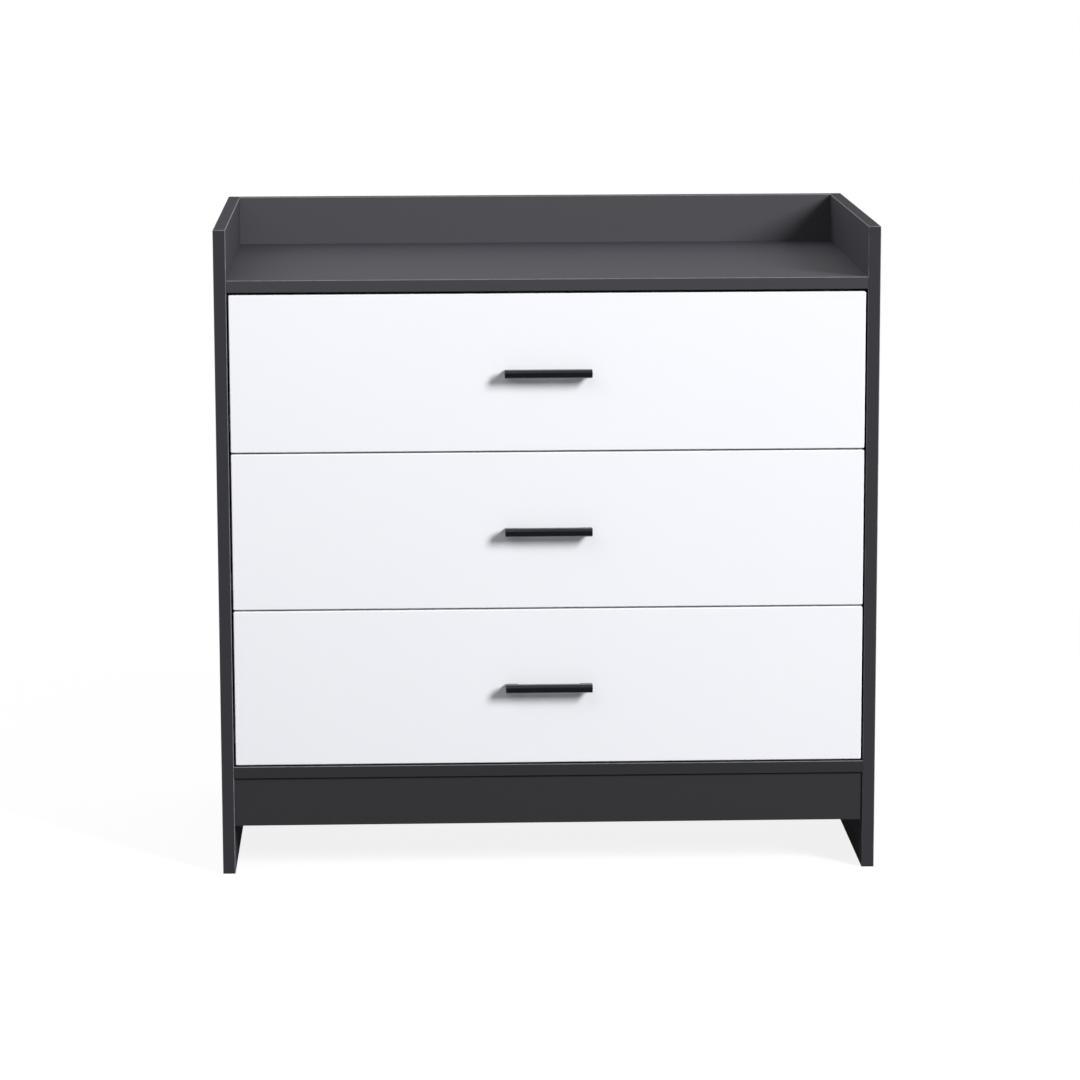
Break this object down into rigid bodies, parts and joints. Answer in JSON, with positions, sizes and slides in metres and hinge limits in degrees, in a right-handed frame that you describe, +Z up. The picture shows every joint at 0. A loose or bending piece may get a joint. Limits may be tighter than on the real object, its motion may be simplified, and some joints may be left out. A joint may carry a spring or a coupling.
{
  "type": "changing table",
  "caption": "Board changing table with raised side and rear rims around its top, and wide inset drawers with bow handles on roller runners.",
  "frame": {"origin": "on the floor, under the middle of the whole table with its handles", "axes": "+X to the right as seen from the front, +Y from the front to the rear, +Z up"},
  "size_m": [0.85, 0.501, 0.84],
  "materials": {
    "anthracite_board": "anthracite melamine on chipboard, fine pearl texture, low sheen",
    "white_front": "white melamine on chipboard, satin",
    "drawer_board": "white foil on chipboard, satin",
    "hardboard": "hardboard, white on one face",
    "black_handle": "black, satin",
    "zinc_cam": "die-cast zinc, dull",
    "zinced_steel": "zinc-plated steel, satin",
    "coated_rail": "white epoxy coat, satin",
    "nylon_roller": "natural nylon"
  },
  "bodies": {
    "cabinet": {"side_panel_left": "anthracite_board", "side_panel_right": "anthracite_board", "top_board": "anthracite_board", "back_upstand": "anthracite_board", "bottom_board": "anthracite_board", "plinth_board": "anthracite_board", "back_panel": "hardboard", "back_panel_nails": "zinced_steel", "cam_locks": "zinc_cam", "cam_bolts": "zinced_steel", "runner_screws": "zinced_steel", "cabinet_rail_1_left": "coated_rail", "cabinet_rail_1_right": "coated_rail", "cabinet_rail_2_left": "coated_rail", "cabinet_rail_2_right": "coated_rail", "cabinet_rail_3_left": "coated_rail", "cabinet_rail_3_right": "coated_rail"},
    "drawer_1": {"drawer_1_front": "white_front", "drawer_1_side_left": "drawer_board", "drawer_1_side_right": "drawer_board", "drawer_1_back": "drawer_board", "drawer_1_bottom": "hardboard", "drawer_1_handle": "black_handle", "drawer_1_handle_screws": "zinced_steel", "drawer_1_cam_locks": "zinc_cam", "drawer_1_cam_bolts": "zinced_steel", "drawer_1_rail_left": "coated_rail", "drawer_1_rail_right": "coated_rail", "drawer_1_rail_screws": "zinced_steel"},
    "cabinet_rollers_1": {"cabinet_rollers_1": "nylon_roller"},
    "drawer_1_rollers": {"drawer_1_rollers": "nylon_roller"},
    "drawer_2": {"drawer_2_front": "white_front", "drawer_2_side_left": "drawer_board", "drawer_2_side_right": "drawer_board", "drawer_2_back": "drawer_board", "drawer_2_bottom": "hardboard", "drawer_2_handle": "black_handle", "drawer_2_handle_screws": "zinced_steel", "drawer_2_cam_locks": "zinc_cam", "drawer_2_cam_bolts": "zinced_steel", "drawer_2_rail_left": "coated_rail", "drawer_2_rail_right": "coated_rail", "drawer_2_rail_screws": "zinced_steel"},
    "cabinet_rollers_2": {"cabinet_rollers_2": "nylon_roller"},
    "drawer_2_rollers": {"drawer_2_rollers": "nylon_roller"},
    "drawer_3": {"drawer_3_front": "white_front", "drawer_3_side_left": "drawer_board", "drawer_3_side_right": "drawer_board", "drawer_3_back": "drawer_board", "drawer_3_bottom": "hardboard", "drawer_3_handle": "black_handle", "drawer_3_handle_screws": "zinced_steel", "drawer_3_cam_locks": "zinc_cam", "drawer_3_cam_bolts": "zinced_steel", "drawer_3_rail_left": "coated_rail", "drawer_3_rail_right": "coated_rail", "drawer_3_rail_screws": "zinced_steel"},
    "cabinet_rollers_3": {"cabinet_rollers_3": "nylon_roller"},
    "drawer_3_rollers": {"drawer_3_rollers": "nylon_roller"}
  },
  "joints": [
    {"name": "drawer_1_slide", "type": "slide", "parent": "cabinet", "child": "drawer_1", "axis": [0, -1, 0], "range_m": [0, 0.3]},
    {"name": "cabinet_rollers_1_spin", "type": "hinge", "parent": "cabinet", "child": "cabinet_rollers_1", "pos_m": [0, -0.1965, 0.58787], "axis": [1, 0, 0], "range_deg": [-5, 2155]},
    {"name": "drawer_1_rollers_spin", "type": "hinge", "parent": "drawer_1", "child": "drawer_1_rollers", "pos_m": [0, 0.1775, 0.58787], "axis": [1, 0, 0], "range_deg": [-5, 2155]},
    {"name": "drawer_2_slide", "type": "slide", "parent": "cabinet", "child": "drawer_2", "axis": [0, -1, 0], "range_m": [0, 0.3]},
    {"name": "cabinet_rollers_2_spin", "type": "hinge", "parent": "cabinet", "child": "cabinet_rollers_2", "pos_m": [0, -0.1965, 0.38303], "axis": [1, 0, 0], "range_deg": [-5, 2155]},
    {"name": "drawer_2_rollers_spin", "type": "hinge", "parent": "drawer_2", "child": "drawer_2_rollers", "pos_m": [0, 0.1775, 0.38303], "axis": [1, 0, 0], "range_deg": [-5, 2155]},
    {"name": "drawer_3_slide", "type": "slide", "parent": "cabinet", "child": "drawer_3", "axis": [0, -1, 0], "range_m": [0, 0.3]},
    {"name": "cabinet_rollers_3_spin", "type": "hinge", "parent": "cabinet", "child": "cabinet_rollers_3", "pos_m": [0, -0.1965, 0.1782], "axis": [1, 0, 0], "range_deg": [-5, 2155]},
    {"name": "drawer_3_rollers_spin", "type": "hinge", "parent": "drawer_3", "child": "drawer_3_rollers", "pos_m": [0, 0.1775, 0.1782], "axis": [1, 0, 0], "range_deg": [-5, 2155]}
  ],
  "couplings": [
    {"joint": "cabinet_rollers_1_spin", "follows": "drawer_1_slide", "rad_per_m": 125},
    {"joint": "drawer_1_rollers_spin", "follows": "drawer_1_slide", "rad_per_m": 125},
    {"joint": "cabinet_rollers_2_spin", "follows": "drawer_2_slide", "rad_per_m": 125},
    {"joint": "drawer_2_rollers_spin", "follows": "drawer_2_slide", "rad_per_m": 125},
    {"joint": "cabinet_rollers_3_spin", "follows": "drawer_3_slide", "rad_per_m": 125},
    {"joint": "drawer_3_rollers_spin", "follows": "drawer_3_slide", "rad_per_m": 125}
  ]
}
